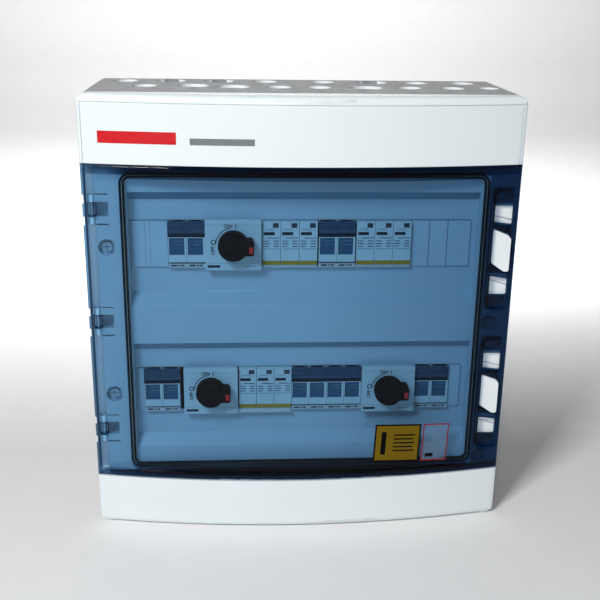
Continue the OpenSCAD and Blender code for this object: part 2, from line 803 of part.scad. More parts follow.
module isolator_plate(g) color("white") at_row(g[0]) {
    mid = g[1] + g[2] * module_w / 2;
    difference() {
        slab(mid - plate_w / 2, mid + plate_w / 2, 0.5 - plate_h / 2, 0.5 + plate_h / 2,
            plate_y, nose_y, 0.8);
        rod_y(mid, knob_z, shaft_r + shaft_play, plate_y - 1, nose_y + 1);
        // lines above the name strip and under the top edge
        for (z = plate_lines_z)
            slab(mid - plate_w / 2 - 1, mid + plate_w / 2 + 1, z - line_w / 2, z + line_w / 2,
                plate_y - 1, plate_y + 0.4);
    }
}

// Handle: round skirt, raised grip and a wide nose on the right
module isolator_knob(g) color("black") at_row(g[0]) {
    mid = g[1] + g[2] * module_w / 2;
    back = plate_y - 0.3;
    front = back - knob_h;
    half = knob_nose / 2;
    tip = mid + knob_reach;
    difference() {
        union() {
            rod_y(mid, knob_z, knob_d / 2, back - knob_h * 0.6, back);
            rod_y(mid, knob_z, knob_d / 2 - 1.2, front + 1, back - 0.5);
            along_y(front, back - 1) translate([0, knob_z])
                polygon([[mid - knob_d / 2 + 3, -half + 3], [mid - knob_d / 2 + 3, half - 3],
                    [mid - 4, half], [tip - 2, half], [tip, half - 3.5],
                    [tip, -half + 1.5], [tip - 1.5, -half], [mid - 4, -half]]);
        }
        // shallow grooves along the grip
        for (s = [-1, 1])
            slab(mid - 8, tip - 4, knob_z + s * 5.6 - 0.3, knob_z + s * 5.6 + 0.3,
                front - 1, front + 0.5);
    }
    rod_y(mid, knob_z, shaft_r, plate_y - 0.4, nose_y + 6);
}

module spd_base(g) color("gainsboro") at_row(g[0]) {
    x0 = g[1] + device_gap;
    x1 = g[1] + g[2] * module_w - device_gap;
    difference() {
        rail_body(g[1], g[2]);
        for (i = [0 : g[2] - 1], s = [-1, 1]) {
            mid = g[1] + (i + 0.5) * module_w;
            slab(mid - 0.7, mid + 0.7, s * 12 - 3.2, s * 12 + 3.2,
                shoulder_y - 1, shoulder_y + cartridge_blade + 1);
        }
    }
    // foot of the nose; in the lower row it carries a wider name strip
    slab(x0, x1, -nose_h / 2, -nose_h / 2 + 2, nose_y, shoulder_y + eps);
    if (g[0] == 1) slab(x0 + 0.5, x1 - 1, -nose_h / 2 - 2.2, -nose_h / 2 + 2, nose_y - 2, nose_y + 0.5);
}

// Plug-in surge cartridge with an indicator window and two blades
module spd_cartridge(k) color("white") at_row(spd_starts[k][0]) {
    x0 = spd_starts[k][1] + device_gap + 0.1;
    x1 = spd_starts[k][1] + module_w - device_gap - 0.1;
    mid = (x0 + x1) / 2;
    difference() {
        slab(x0, x1, -nose_h / 2 + 2.3, nose_h / 2, nose_y - 1, shoulder_y - 0.2);
        slab(x1 - 7.4, x1 - 1.8, nose_h / 2 - 6, nose_h / 2 - 1.4, nose_y - 2, nose_y - 0.4);
        // finger ridge under the indicator
        slab(x0 + 1.5, x1 - 1.5, nose_h / 2 - 8.6, nose_h / 2 - 8.2, nose_y - 2, nose_y - 0.7);
    }
    for (s = [-1, 1])
        slab(mid - 0.5, mid + 0.5, s * 12 - 3, s * 12 + 3,
            shoulder_y - 0.3, shoulder_y - 0.2 + cartridge_blade);
}

base_box();
base_gasket();
front_cover();
cover_screws();
blank_plates();
door();
door_gasket();
hinge_pins();
latch_keepers();
latch_upper();
latch_lower();
warning_label();
string_label();
din_rails();
rail_frame();
rail_screws();
earth_bar();
busbars();
fuse_base(fuse_groups[0]);  // fuse_base_1
fuse_base(fuse_groups[1]);  // fuse_base_2
fuse_base(fuse_groups[2]);  // fuse_base_3
fuse_base(fuse_groups[3]);  // fuse_base_4
fuse_base(fuse_groups[4]);  // fuse_base_5
fuse_carrier(0);  // fuse_carrier_1
fuse_carrier(1);  // fuse_carrier_2
fuse_carrier(2);  // fuse_carrier_3
fuse_carrier(3);  // fuse_carrier_4
fuse_carrier(4);  // fuse_carrier_5
fuse_carrier(5);  // fuse_carrier_6
fuse_carrier(6);  // fuse_carrier_7
fuse_carrier(7);  // fuse_carrier_8
fuse_carrier(8);  // fuse_carrier_9
fuse_carrier(9);  // fuse_carrier_10
fuse_carrier(10);  // fuse_carrier_11
fuse_carrier(11);  // fuse_carrier_12
isolator_body(isolator_groups[0]);  // isolator_body_1
isolator_body(isolator_groups[1]);  // isolator_body_2
isolator_body(isolator_groups[2]);  // isolator_body_3
isolator_plate(isolator_groups[0]);  // isolator_plate_1
isolator_plate(isolator_groups[1]);  // isolator_plate_2
isolator_plate(isolator_groups[2]);  // isolator_plate_3
isolator_knob(isolator_groups[0]);  // isolator_knob_1
isolator_knob(isolator_groups[1]);  // isolator_knob_2
isolator_knob(isolator_groups[2]);  // isolator_knob_3
spd_base(spd_groups[0]);  // spd_base_1
spd_base(spd_groups[1]);  // spd_base_2
spd_base(spd_groups[2]);  // spd_base_3
spd_cartridge(0);  // spd_cartridge_1
spd_cartridge(1);  // spd_cartridge_2
spd_cartridge(2);  // spd_cartridge_3
spd_cartridge(3);  // spd_cartridge_4
spd_cartridge(4);  // spd_cartridge_5
spd_cartridge(5);  // spd_cartridge_6
spd_cartridge(6);  // spd_cartridge_7
spd_cartridge(7);  // spd_cartridge_8
spd_cartridge(8);  // spd_cartridge_9
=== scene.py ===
"""Looks for the DC combiner box: materials, printed details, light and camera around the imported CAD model."""

import json
import math

import bmesh
import bpy
from mathutils import Matrix, Vector


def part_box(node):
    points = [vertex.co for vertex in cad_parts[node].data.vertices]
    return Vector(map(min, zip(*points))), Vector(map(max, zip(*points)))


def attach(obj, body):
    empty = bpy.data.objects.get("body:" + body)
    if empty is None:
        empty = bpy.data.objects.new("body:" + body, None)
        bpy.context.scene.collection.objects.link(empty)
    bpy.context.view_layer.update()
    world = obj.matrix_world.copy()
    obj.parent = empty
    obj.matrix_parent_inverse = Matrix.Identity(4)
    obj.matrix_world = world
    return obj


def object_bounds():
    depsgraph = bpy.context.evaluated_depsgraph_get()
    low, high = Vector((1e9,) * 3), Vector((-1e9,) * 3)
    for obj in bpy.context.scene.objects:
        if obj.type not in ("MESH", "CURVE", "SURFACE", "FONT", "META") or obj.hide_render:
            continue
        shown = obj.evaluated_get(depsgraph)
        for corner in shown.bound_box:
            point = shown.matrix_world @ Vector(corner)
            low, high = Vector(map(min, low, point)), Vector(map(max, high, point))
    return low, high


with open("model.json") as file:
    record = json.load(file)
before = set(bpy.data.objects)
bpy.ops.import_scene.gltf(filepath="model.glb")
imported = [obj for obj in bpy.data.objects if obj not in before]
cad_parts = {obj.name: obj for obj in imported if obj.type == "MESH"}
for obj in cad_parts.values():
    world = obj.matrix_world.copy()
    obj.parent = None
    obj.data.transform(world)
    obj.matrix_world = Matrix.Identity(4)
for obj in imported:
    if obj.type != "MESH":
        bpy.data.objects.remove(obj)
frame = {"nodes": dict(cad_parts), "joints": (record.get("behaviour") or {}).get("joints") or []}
cad_box = [list(corner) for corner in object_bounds()]

MM = 0.001
ROW_Z = (0.292, 0.142)
NODES = frame["nodes"]
JOINTS = {joint["name"]: joint for joint in frame["joints"]}
ISOLATORS = range(1, 4)
CARRIERS = range(1, 13)
CARTRIDGES = range(1, 10)
FUSE_BASES = range(1, 6)
MODULE_W = 17.6 * MM
HALF_NOSE = 22.5 * MM
DIAL_R = 16.6 * MM
FRONT_BULGE = 20 * MM

# Print on flat faces stands a little proud and reaches a little into its face
PROUD = 0.08 * MM
SUNK = 0.05 * MM

# Door labels: width and height, and the clockwise turn they share
WARNING_SIZE = (47.2 * MM, 41.2 * MM)
STRING_SIZE = (26.7 * MM, 41.0 * MM)
TILT = math.radians(2.5)

# Middle range of a noise value, which is stretched to the wanted range
NOISE_LOW = 0.3
NOISE_HIGH = 0.7

# Colours as linear RGB
WHITE = (0.79, 0.86, 0.88)
BASE_GREY = (0.28, 0.29, 0.30)
PANEL_GREY = (0.37, 0.46, 0.55)
# Painted shade on the panel's down-facing slopes
SLOPE_PAINTED_SHADE = (0.13, 0.23, 0.33)
DEVICE_WHITE = (0.47, 0.55, 0.60)
DEVICE_GREY = (0.50, 0.53, 0.55)
GRIP_GREY = (0.03, 0.07, 0.13)
# Painted shade in the finger slot of the fuse carriers
SLOT_PAINTED_SHADE = (0.002, 0.009, 0.02)
PANE_GREY = (0.02, 0.08, 0.15)
KNOB_BLACK = (0.004, 0.004, 0.006)
PRINT_DARK = (0.012, 0.018, 0.03)
SIGNAL_RED = (0.60, 0.006, 0.012)
STRIP_YELLOW = (0.36, 0.21, 0.004)
LABEL_YELLOW = (0.155, 0.098, 0.002)
LABEL_RED = (0.24, 0.008, 0.02)
# Share of the light that each surface of the door passes: over the window, and at its thick edges and where
# painted shade darkens the door
TINT = (0.705, 0.837, 0.921)
TINT_EDGE_AND_SHADE = (0.20, 0.34, 0.47)


# ---------- node graphs ----------

class Graph:
    """A material's node tree with short ways to add the usual nodes."""

    def __init__(self, name):
        self.material = bpy.data.materials.new(name)
        self.material.use_nodes = True
        self.tree = self.material.node_tree
        self.tree.nodes.clear()
        self.output = self.add("ShaderNodeOutputMaterial")
        coords = self.add("ShaderNodeTexCoord")
        self.coords = coords.outputs["Object"]
        split = self.add("ShaderNodeSeparateXYZ")
        self.link(self.coords, split.inputs[0])
        self.x, self.y, self.z = split.outputs

    def add(self, kind, **settings):
        node = self.tree.nodes.new(kind)
        for key, value in settings.items():
            setattr(node, key, value)
        return node

    def link(self, a, b):
        self.tree.links.new(a, b)

    def feed(self, value, socket):
        if isinstance(value, bpy.types.NodeSocket):
            self.link(value, socket)
        elif isinstance(value, tuple) and len(value) == 3 and socket.type == "RGBA":
            socket.default_value = (*value, 1)
        else:
            socket.default_value = value

    def math(self, operation, a, b=0.0):
        node = self.add("ShaderNodeMath", operation=operation)
        self.feed(a, node.inputs[0])
        self.feed(b, node.inputs[1])
        return node.outputs[0]

    def mix(self, factor, a, b):
        node = self.add("ShaderNodeMix", data_type="RGBA")
        self.feed(factor, node.inputs["Factor"])
        self.feed(a, node.inputs[6])
        self.feed(b, node.inputs[7])
        return node.outputs[2]

    def noise(self, size, detail=2.0):
        """Noise whose blotches are about this many metres across."""
        node = self.add("ShaderNodeTexNoise")
        self.link(self.coords, node.inputs["Vector"])
        node.inputs["Scale"].default_value = 1 / size
        node.inputs["Detail"].default_value = detail
        return node.outputs["Fac"]

    def patchy(self, size, low, high, detail=2.0):
        """A number that wanders between low and high in blotches of about this size."""
        return self.ramp(self.noise(size, detail), NOISE_LOW, NOISE_HIGH, low, high)

    def facing(self):
        """X, Y and Z of the surface's normal in world space, which turns with a body that moves."""
        face = self.add("ShaderNodeNewGeometry")
        split = self.add("ShaderNodeSeparateXYZ")
        self.link(face.outputs["True Normal"], split.inputs[0])
        return split.outputs

    def blend_shaders(self, share, first, second):
        """Shows the second shader by a share and the first by the rest."""
        mixer = self.add("ShaderNodeMixShader")
        self.link(share, mixer.inputs[0])
        self.link(first.outputs[0], mixer.inputs[1])
        self.link(second.outputs[0], mixer.inputs[2])
        self.link(mixer.outputs[0], self.output.inputs["Surface"])

    def ramp(self, value, low, high, out_low, out_high):
        """Maps low to high onto out_low to out_high, and holds the ends."""
        node = self.add("ShaderNodeMapRange")
        for socket, v in zip(node.inputs, (value, low, high, out_low, out_high)):
            self.feed(v, socket)
        return node.outputs[0]

    def between(self, value, low, high):
        """1 where value lies between low and high, else 0."""
        above = self.math("GREATER_THAN", value, low)
        below = self.math("LESS_THAN", value, high)
        return self.math("MULTIPLY", above, below)

    def bump(self, height, strength, distance, bevel=0.0):
        node = self.add("ShaderNodeBump")
        self.feed(height, node.inputs["Height"])
        node.inputs["Strength"].default_value = strength
        node.inputs["Distance"].default_value = distance
        if bevel:
            edge = self.add("ShaderNodeBevel", samples=4)
            edge.inputs["Radius"].default_value = bevel
            self.link(edge.outputs[0], node.inputs["Normal"])
        return node.outputs[0]


def surface(name, colour, rough, metal=0.0, grain=0.5 * MM, relief=0.12, mottle=0.04,
            bevel=0.3 * MM, regions=(), coat=0.0, shine=0.5, uneven=0.18):
    """Plastic, metal or rubber: mottled colour, uneven gloss, a moulded grain and softened edges.

    regions is a list of (mask function, colour) that recolours part of the surface."""
    g = Graph(name)
    shader = g.add("ShaderNodeBsdfPrincipled")
    base = colour
    for mask, other in regions:
        base = g.mix(mask(g), base, other)
    shade = g.patchy(45 * MM, 1 - mottle, 1 + mottle, 3)
    scaled = g.add("ShaderNodeVectorMath", operation="SCALE")
    if isinstance(base, tuple):
        scaled.inputs[0].default_value = base
    else:
        g.link(base, scaled.inputs[0])
    g.link(shade, scaled.inputs["Scale"])
    g.link(scaled.outputs[0], shader.inputs["Base Color"])
    gloss = g.patchy(12 * MM, rough * (1 - uneven), rough * (1 + uneven), 3)
    g.link(gloss, shader.inputs["Roughness"])
    shader.inputs["Metallic"].default_value = metal
    shader.inputs["Specular IOR Level"].default_value = shine
    shader.inputs["Coat Weight"].default_value = coat
    shader.inputs["Coat Roughness"].default_value = 0.06
    normal = g.bump(g.noise(grain, 3), relief, 0.05 * MM, bevel)
    g.link(normal, shader.inputs["Normal"])
    g.link(shader.outputs[0], g.output.inputs["Surface"])
    return g.material


def edge_and_painted_shade(g):
    """How dark the door looks at a point: near 0 over the window, up to 1 on the thick parts around it
    and on the walls that stand across the pane. Part of it is painted shade: the bottom band darkens
    towards the right, and the whole door darkens a little towards the right.

    The walls are told by a world normal, so the pane itself counts as one on an open door."""
    lo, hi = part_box("door_gasket")
    left_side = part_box("door")[0].x
    overlap = 0.5 * MM
    left_wall = 4.5 * MM
    top = g.math("GREATER_THAN", g.z, hi.z - overlap)
    top = g.math("MULTIPLY", top, g.ramp(g.x, lo.x - 12 * MM, lo.x + 6 * MM, 0.45, 0.92))
    foot = g.math("LESS_THAN", g.z, lo.z + overlap)
    # Painted shade: the bottom band grows darker towards the right.
    foot = g.math("MULTIPLY", foot, g.ramp(g.x, -120 * MM, 130 * MM, 0.55, 1.0))
    right = g.math("MULTIPLY", g.math("GREATER_THAN", g.x, hi.x - overlap), 0.78)
    left = g.math("MULTIPLY", g.math("LESS_THAN", g.x, left_side + left_wall), 0.85)
    shade = g.math("MAXIMUM", g.math("MAXIMUM", top, foot), g.math("MAXIMUM", left, right))
    # Painted shade: the whole door grows a little darker towards the right.
    shade = g.math("MAXIMUM", shade, g.ramp(g.x, 0.0, hi.x, 0.0, 0.13))
    across = g.math("LESS_THAN", g.math("ABSOLUTE", g.facing()[1]), 0.6)
    return g.math("MAXIMUM", shade, across)


def tinted_door():
    """Smoky blue polycarbonate: each surface passes a share of the light and the outside is glossy."""
    g = Graph("tinted_polycarbonate")
    clear = g.add("ShaderNodeBsdfTransparent")
    g.link(g.mix(edge_and_painted_shade(g), TINT, TINT_EDGE_AND_SHADE), clear.inputs["Color"])
    gloss = g.add("ShaderNodeBsdfGlossy")
    gloss.inputs["Color"].default_value = (1, 1, 1, 1)
    g.link(g.patchy(30 * MM, 0.035, 0.06), gloss.inputs["Roughness"])
    g.link(g.bump(g.noise(70 * MM, 1), 0.05, 1 * MM, 0.8 * MM), gloss.inputs["Normal"])
    fresnel = g.add("ShaderNodeFresnel")
    fresnel.inputs["IOR"].default_value = 1.5
    side = g.add("ShaderNodeNewGeometry")
    outer = g.math("SUBTRACT", 1.0, side.outputs["Backfacing"])
    polish = 0.25
    share = g.math("MULTIPLY", g.math("MULTIPLY", fresnel.outputs[0], outer), polish)
    g.blend_shaders(share, clear, gloss)
    return g.material


def clear_film():
    """Pale clear film of the small label."""
    g = Graph("clear_film")
    clear = g.add("ShaderNodeBsdfTransparent")
    clear.inputs["Color"].default_value = (0.93, 0.96, 0.98, 1)
    body = g.add("ShaderNodeBsdfPrincipled")
    body.inputs["Base Color"].default_value = (0.16, 0.27, 0.40, 1)
    g.link(g.patchy(9 * MM, 0.2, 0.4), body.inputs["Roughness"])
    g.blend_shaders(g.patchy(14 * MM, 0.15, 0.4), clear, body)
    return g.material


def paint(material, *names):
    """Gives CAD nodes a material through their slots."""
    for name in names:
        mesh = NODES[name].data
        if not mesh.materials:
            mesh.materials.append(material)
        for i in range(len(mesh.materials)):
            mesh.materials[i] = material


# ---------- materials of the CAD nodes ----------

def panel_mask(g):
    """The inner panel of the cover, between the two bands and behind the door."""
    door_lo, door_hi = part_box("door")
    inside = g.between(g.z, door_lo.z - 0.2 * MM, door_hi.z + 0.2 * MM)
    behind = g.math("GREATER_THAN", g.y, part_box("door_gasket")[1].y + 0.2 * MM)
    return g.math("MULTIPLY", inside, behind)


def slope_shade_mask(g):
    """Painted shade: the slopes of the panel that face down are coloured darker, as they lie in shade."""
    return g.math("MULTIPLY", panel_mask(g), g.math("LESS_THAN", g.facing()[2], -0.3))


def knockout_painted_light(g):
    """Painted light: the upright walls of the knockouts in the top of the base are coloured near white, where
    the light catches them.
    """
    lo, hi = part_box("base_box")
    rim = 8 * MM
    depth = 2.7 * MM
    inside = g.math("MULTIPLY", g.between(g.x, lo.x + rim, hi.x - rim),
                    g.between(g.y, lo.y + rim, hi.y - rim))
    near_top = g.math("GREATER_THAN", g.z, hi.z - depth)
    upright = g.math("LESS_THAN", g.facing()[2], 0.5)
    return g.math("MULTIPLY", g.math("MULTIPLY", inside, near_top), upright)


def carrier_masks(row_z):
    """Grip of a fuse carrier and painted shade in its slot, by height above the row's centre."""
    slot_z, grip_z, top_z = (row_z + height * MM for height in (7.2, 10.9, 30))

    def grip(g):
        return g.between(g.z, grip_z, top_z)

    # Painted shade: the slot is coloured near black.
    def slot(g):
        return g.between(g.z, slot_z, grip_z)

    return [(grip, GRIP_GREY), (slot, SLOT_PAINTED_SHADE)]


def dress_cad():
    """Gives every CAD node its material."""
    # The inner panel is grey, and its down-facing slopes get painted shade.
    white = surface("cover_plastic", WHITE, 0.24, coat=0.6, bevel=0.9 * MM, mottle=0.008, uneven=0.06,
                    regions=[(panel_mask, PANEL_GREY), (slope_shade_mask, SLOPE_PAINTED_SHADE)])
    paint(white, "front_cover")
    paint(surface("catch_plastic", (0.86, 0.91, 0.93), 0.3, bevel=0.8 * MM),
          "latch_keepers", "latch_upper", "latch_lower")
    paint(surface("blank_plastic", (0.40, 0.49, 0.58), 0.35), "blank_plates")
    # The walls of the knockouts in the base get painted light in near white.
    paint(surface("base_plastic", BASE_GREY, 0.42, grain=0.9 * MM, relief=0.2, bevel=0.8 * MM,
                  regions=[(knockout_painted_light, (0.92, 0.94, 0.95))]), "base_box")
    paint(surface("seal_rubber", (0.003, 0.004, 0.007), 0.6, grain=0.8 * MM, relief=0.3, shine=0.1),
          "base_gasket", "door_gasket")
    paint(surface("zinc_plate", (0.62, 0.63, 0.62), 0.32, metal=1.0, grain=3 * MM, mottle=0.12),
          "rail_screws", "din_rails", "rail_frame")
    paint(surface("screw_plastic", (0.34, 0.40, 0.46), 0.5, shine=0.2), "cover_screws")
    paint(surface("pin_steel", (0.66, 0.70, 0.74), 0.3, metal=0.8), "hinge_pins")
    paint(surface("brass", (0.62, 0.44, 0.16), 0.3, metal=1.0, mottle=0.1), "earth_bar")
    paint(surface("copper", (0.70, 0.32, 0.18), 0.3, metal=1.0, mottle=0.12), "busbars")
    paint(surface("yellow_film", LABEL_YELLOW, 0.4, relief=0.05, shine=0.1), "warning_label")
    paint(clear_film(), "string_label")
    grey = surface("device_grey", DEVICE_GREY, 0.42)
    paint(grey, *[n for n in NODES if n.startswith(("fuse_base", "isolator_body", "spd_base"))])
    light = surface("device_white", DEVICE_WHITE, 0.36, shine=0.25)
    paint(light, *[n for n in NODES if n.startswith(("isolator_plate", "spd_cartridge"))])
    paint(surface("handle_black", KNOB_BLACK, 0.5, relief=0.25, shine=0.05),
          *[f"isolator_knob_{i}" for i in ISOLATORS])
    half_row = 20 * MM
    for row, row_z in enumerate(ROW_Z):
        plastic = surface(f"carrier_grey_{row}", DEVICE_WHITE, 0.36, regions=carrier_masks(row_z), shine=0.2)
        for i in CARRIERS:
            if abs(sum(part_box(f"fuse_carrier_{i}"), Vector()).z / 2 - row_z) < half_row:
                paint(plastic, f"fuse_carrier_{i}")
    paint(tinted_door(), "door")


# ---------- mesh pieces ----------

def finish_piece(name, bm, material, body, bevel=0.0):
    """Turns a bmesh into a piece that rides on a body, with rounded edges where a bevel is given."""
    mesh = bpy.data.meshes.new(name)
    bmesh.ops.recalc_face_normals(bm, faces=bm.faces)
    bm.to_mesh(mesh)
    bm.free()
    mesh.materials.append(material)
    piece = bpy.data.objects.new(name, mesh)
    bpy.context.scene.collection.objects.link(piece)
    if bevel:
        rounding = piece.modifiers.new("edges", "BEVEL")
        rounding.width = bevel
        rounding.segments = 2
    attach(piece, body)
    return piece


def add_block(bm, x0, x1, z0, z1, front, back):
    """Adds a block with its front at the smaller Y."""
    made = bmesh.ops.create_cube(bm, size=1)["verts"]
    for v in made:
        v.co.x = x0 if v.co.x < 0 else x1
        v.co.y = front if v.co.y < 0 else back
        v.co.z = z0 if v.co.z < 0 else z1


def blocks(name, boxes, material, body, bevel=0.05 * MM):
    """One piece made of several small blocks, each (x0, x1, z0, z1, front, back)."""
    bm = bmesh.new()
    for box in boxes:
        add_block(bm, *box)
    return finish_piece(name, bm, material, body, bevel)


def add_arc(bm, cx, cz, radius, width, start, end, front, back, steps=24):
    """Adds a flat band along an arc in X-Z, with angles in degrees from +X towards +Z."""
    rings = []
    for i in range(steps + 1):
        angle = math.radians(start + (end - start) * i / steps)
        ring = []
        for r, y in ((radius - width / 2, front), (radius + width / 2, front),
                     (radius + width / 2, back), (radius - width / 2, back)):
            ring.append(bm.verts.new((cx + r * math.cos(angle), y, cz + r * math.sin(angle))))
        rings.append(ring)
    for a, b in zip(rings, rings[1:]):
        for k in range(4):
            bm.faces.new((a[k], a[(k + 1) % 4], b[(k + 1) % 4], b[k]))
    if abs(end - start) < 359:
        bm.faces.new(rings[0])
        bm.faces.new(rings[-1])


def word(name, text, x, y, z, height, angle, material, body):
    """Thin raised word in X-Z, centred on a point and turned by an angle in degrees."""
    curve = bpy.data.curves.new(name, "FONT")
    curve.body = text
    curve.size = height * 1.4
    curve.align_x = "CENTER"
    curve.align_y = "CENTER"
    curve.extrude = 0.04 * MM
    curve.offset = 0.1 * MM
    curve.resolution_u = 3
    holder = bpy.data.objects.new(name, curve)
    bpy.context.scene.collection.objects.link(holder)
    bpy.context.view_layer.update()
    mesh = bpy.data.meshes.new_from_object(holder.evaluated_get(bpy.context.evaluated_depsgraph_get()))
    bpy.data.objects.remove(holder)
    place = (Matrix.Translation((x, y, z)) @ Matrix.Rotation(math.radians(-angle), 4, "Y")
             @ Matrix.Rotation(math.radians(90), 4, "X"))
    mesh.transform(place)
    mesh.materials.clear()
    mesh.materials.append(material)
    piece = bpy.data.objects.new(name, mesh)
    bpy.context.scene.collection.objects.link(piece)
    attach(piece, body)
    return piece


INK = surface("dark_print", PRINT_DARK, 0.5, relief=0.02, bevel=0, shine=0.1)
PALE_INK = surface("pale_print", (0.05, 0.08, 0.12), 0.5, relief=0.02, bevel=0, shine=0.1)
FILM_BLACK = surface("film_black", (0.002, 0.002, 0.003), 0.5, relief=0.03, bevel=0, shine=0.05)
FILM_RED = surface("film_red", LABEL_RED, 0.4, relief=0.03, bevel=0, shine=0.2)
RED = surface("red_print", SIGNAL_RED, 0.32, relief=0.04, bevel=0)
GREY_INK = surface("grey_print", (0.17, 0.19, 0.20), 0.4, relief=0.03, bevel=0)
YELLOW = surface("yellow_strip", STRIP_YELLOW, 0.4, relief=0.06, bevel=0)
WINDOW = surface("window_pane", PANE_GREY, 0.2, relief=0.03, bevel=0, shine=0.3)
PANE_LINE = surface("pane_line", (0.16, 0.24, 0.32), 0.3, relief=0.02, bevel=0)
LENS = surface("indicator_lens", (0.008, 0.012, 0.03), 0.12, relief=0.02, bevel=0, coat=0.6)
SEAL_EDGE = surface("seal_edge", (0.10, 0.16, 0.18), 0.4, relief=0.05, bevel=0)


def marks(x, z, face, rows):
    """Boxes of printed marks on a flat face. Each row is (x0, x1, z0, z1) in millimetres from x, z."""
    return [(x + x0 * MM, x + x1 * MM, z + z0 * MM, z + z1 * MM, face - PROUD, face + SUNK)
            for x0, x1, z0, z1 in rows]


def dress_isolator(i):
    """Dial marks, name strip marks and the red end of the handle."""
    lo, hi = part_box(f"isolator_plate_{i}")
    axis = Vector(JOINTS[f"isolator_knob_{i}_turn"]["pos_m"])
    face = lo.y
    bm = bmesh.new()
    front, back = face - PROUD, face + SUNK
    add_arc(bm, axis.x, axis.z, DIAL_R, 0.8 * MM, 98, 176, front, back)
    add_arc(bm, axis.x - 18.9 * MM, axis.z + 2.6 * MM, 2.1 * MM, 0.85 * MM, 0, 360, front, back)
    finish_piece(f"dial_marks_{i}", bm, INK, "enclosure")
    blocks(f"dial_on_bar_{i}", marks(axis.x, axis.z, face, [(2.0, 2.8, 15.9, 20.5)]), INK, "enclosure")
    word(f"dial_on_{i}", "ON", axis.x - 4.7 * MM, front, axis.z + 18.2 * MM, 3.6 * MM, 0, INK, "enclosure")
    word(f"dial_off_{i}", "OFF", axis.x - 19.2 * MM, front, axis.z - 5.4 * MM, 3.4 * MM, 90, INK, "enclosure")
    strip_z = lo.z + 3.9 * MM
    blocks(f"name_strip_bar_{i}", marks(lo.x, strip_z, face, [(2, 14, -1.2, 1.2)]), INK, "enclosure")
    symbol = [(-16, -12, -0.2, 0.2), (-12.2, -11.7, -1, 1), (-10.5, -6, -0.2, 0.2)]
    blocks(f"name_strip_symbol_{i}", marks(hi.x, strip_z, face, symbol), PALE_INK, "enclosure")
    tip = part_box(f"isolator_knob_{i}")[0].y
    red_end = (axis.x + 14.8 * MM, axis.x + 18.4 * MM, axis.z - 5.4 * MM, axis.z + 0.9 * MM,
               tip - 0.1 * MM, tip + 0.3 * MM)
    blocks(f"handle_red_mark_{i}", [red_end], RED, f"isolator_knob_{i}")


def dress_cartridge(i):
    """Indicator, rows of small print and the coloured strip of a surge cartridge."""
    body = f"spd_cartridge_{i}"
    lo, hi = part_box(body)
    face, top = lo.y, hi.z
    row = top - HALF_NOSE
    left = lo.x + 1.2 * MM
    width = (hi.x - lo.x) / MM - 2.2
    lens = (hi.x - 7.3 * MM, hi.x - 1.9 * MM, top - 5.9 * MM, top - 1.5 * MM,
            face + 0.15 * MM, face + 0.55 * MM)
    blocks(f"indicator_{i}", [lens], LENS, body, 0.2 * MM)
    blocks(f"cartridge_title_{i}", marks(left, row, face, [(0, 10.4, 9.4, 12.4)]), INK, body, 0)
    lines = [(3.4, width, 6.2, 7.0), (0, width, -4.3, -3.9), (1.5, width - 5, 15.1, 15.5)]
    half_line = 0.45
    for k, height in enumerate((3.6, 1.0, -1.5)):
        split = 5.4 + 0.9 * math.sin(2.1 * k)
        lines.append((0, split, height - half_line, height + half_line))
        lines.append((9.6, width - 0.4, height - half_line, height + half_line))
    blocks(f"small_print_{i}", marks(left, row, face, lines), PALE_INK, body, 0)
    inset = 0.1 * MM
    blocks(f"colour_strip_{i}", [(lo.x + inset, hi.x - inset, row - 19.9 * MM, row - 15.8 * MM,
                                  face - inset, face + inset)], YELLOW, body)


def dress_carrier(i):
    """Pane in the window of a fuse carrier, with two faint lines on it."""
    body = f"fuse_carrier_{i}"
    lo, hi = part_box(body)
    top, face = hi.z, lo.y
    x0, x1 = lo.x + 1.05 * MM, hi.x - 2.05 * MM
    pane = (x0, x1, top - 32.25 * MM, top - 15.75 * MM, face + 1.2 * MM, face + 1.55 * MM)
    blocks(f"window_pane_{i}", [pane], WINDOW, body, 0.1 * MM)
    half_line = 0.2 * MM
    lines = [(x0 + 5 * MM, x1 - 1 * MM, z - half_line, z + half_line, face + 1.12 * MM, face + 1.25 * MM)
             for z in (top - 19 * MM, top - 22.5 * MM)]
    blocks(f"window_lines_{i}", lines, PANE_LINE, body, 0)


def dress_fuse_base(i):
    """Small print on the foot of each holder."""
    lo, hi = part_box(f"fuse_base_{i}")
    count = round((hi.x - lo.x) / MODULE_W)
    row = min(ROW_Z, key=lambda z: abs(z - (lo.z + hi.z) / 2))
    sunk_face = lo.y + 0.5 * MM
    z0, z1 = -21.5, -20.1
    print_rows = [(-6.2, -0.8, z0, z1), (0.6, 2.2, z0, z1), (3.4, 6.0, z0, z1)]
    boxes = []
    for k in range(count):
        mid = lo.x + (k + 0.5) * (hi.x - lo.x) / count
        boxes += marks(mid, row, sunk_face, print_rows)
    blocks(f"holder_print_{i}", boxes, INK, "enclosure", 0)


def add_ring(bm, x0, x1, z0, z1, r, width, front, back, steps=6):
    """Adds a rounded rectangular band in X-Z."""
    centres = ((x1 - r, z1 - r), (x0 + r, z1 - r), (x0 + r, z0 + r), (x1 - r, z0 + r))
    loops = []
    for inset in (0, width):
        loop = []
        for k, (cx, cz) in enumerate(centres):
            for j in range(steps + 1):
                angle = math.radians(90 * (k + j / steps))
                loop.append((cx + (r - inset) * math.cos(angle), cz + (r - inset) * math.sin(angle)))
        loops.append(loop)
    rings = [[bm.verts.new((x, y, z)) for x, z in loop] for loop, y in
             ((loops[0], front), (loops[1], front), (loops[1], back), (loops[0], back))]
    count = len(rings[0])
    for a in range(4):
        b = (a + 1) % 4
        for j in range(count):
            n = (j + 1) % count
            bm.faces.new((rings[a][j], rings[a][n], rings[b][n], rings[b][j]))


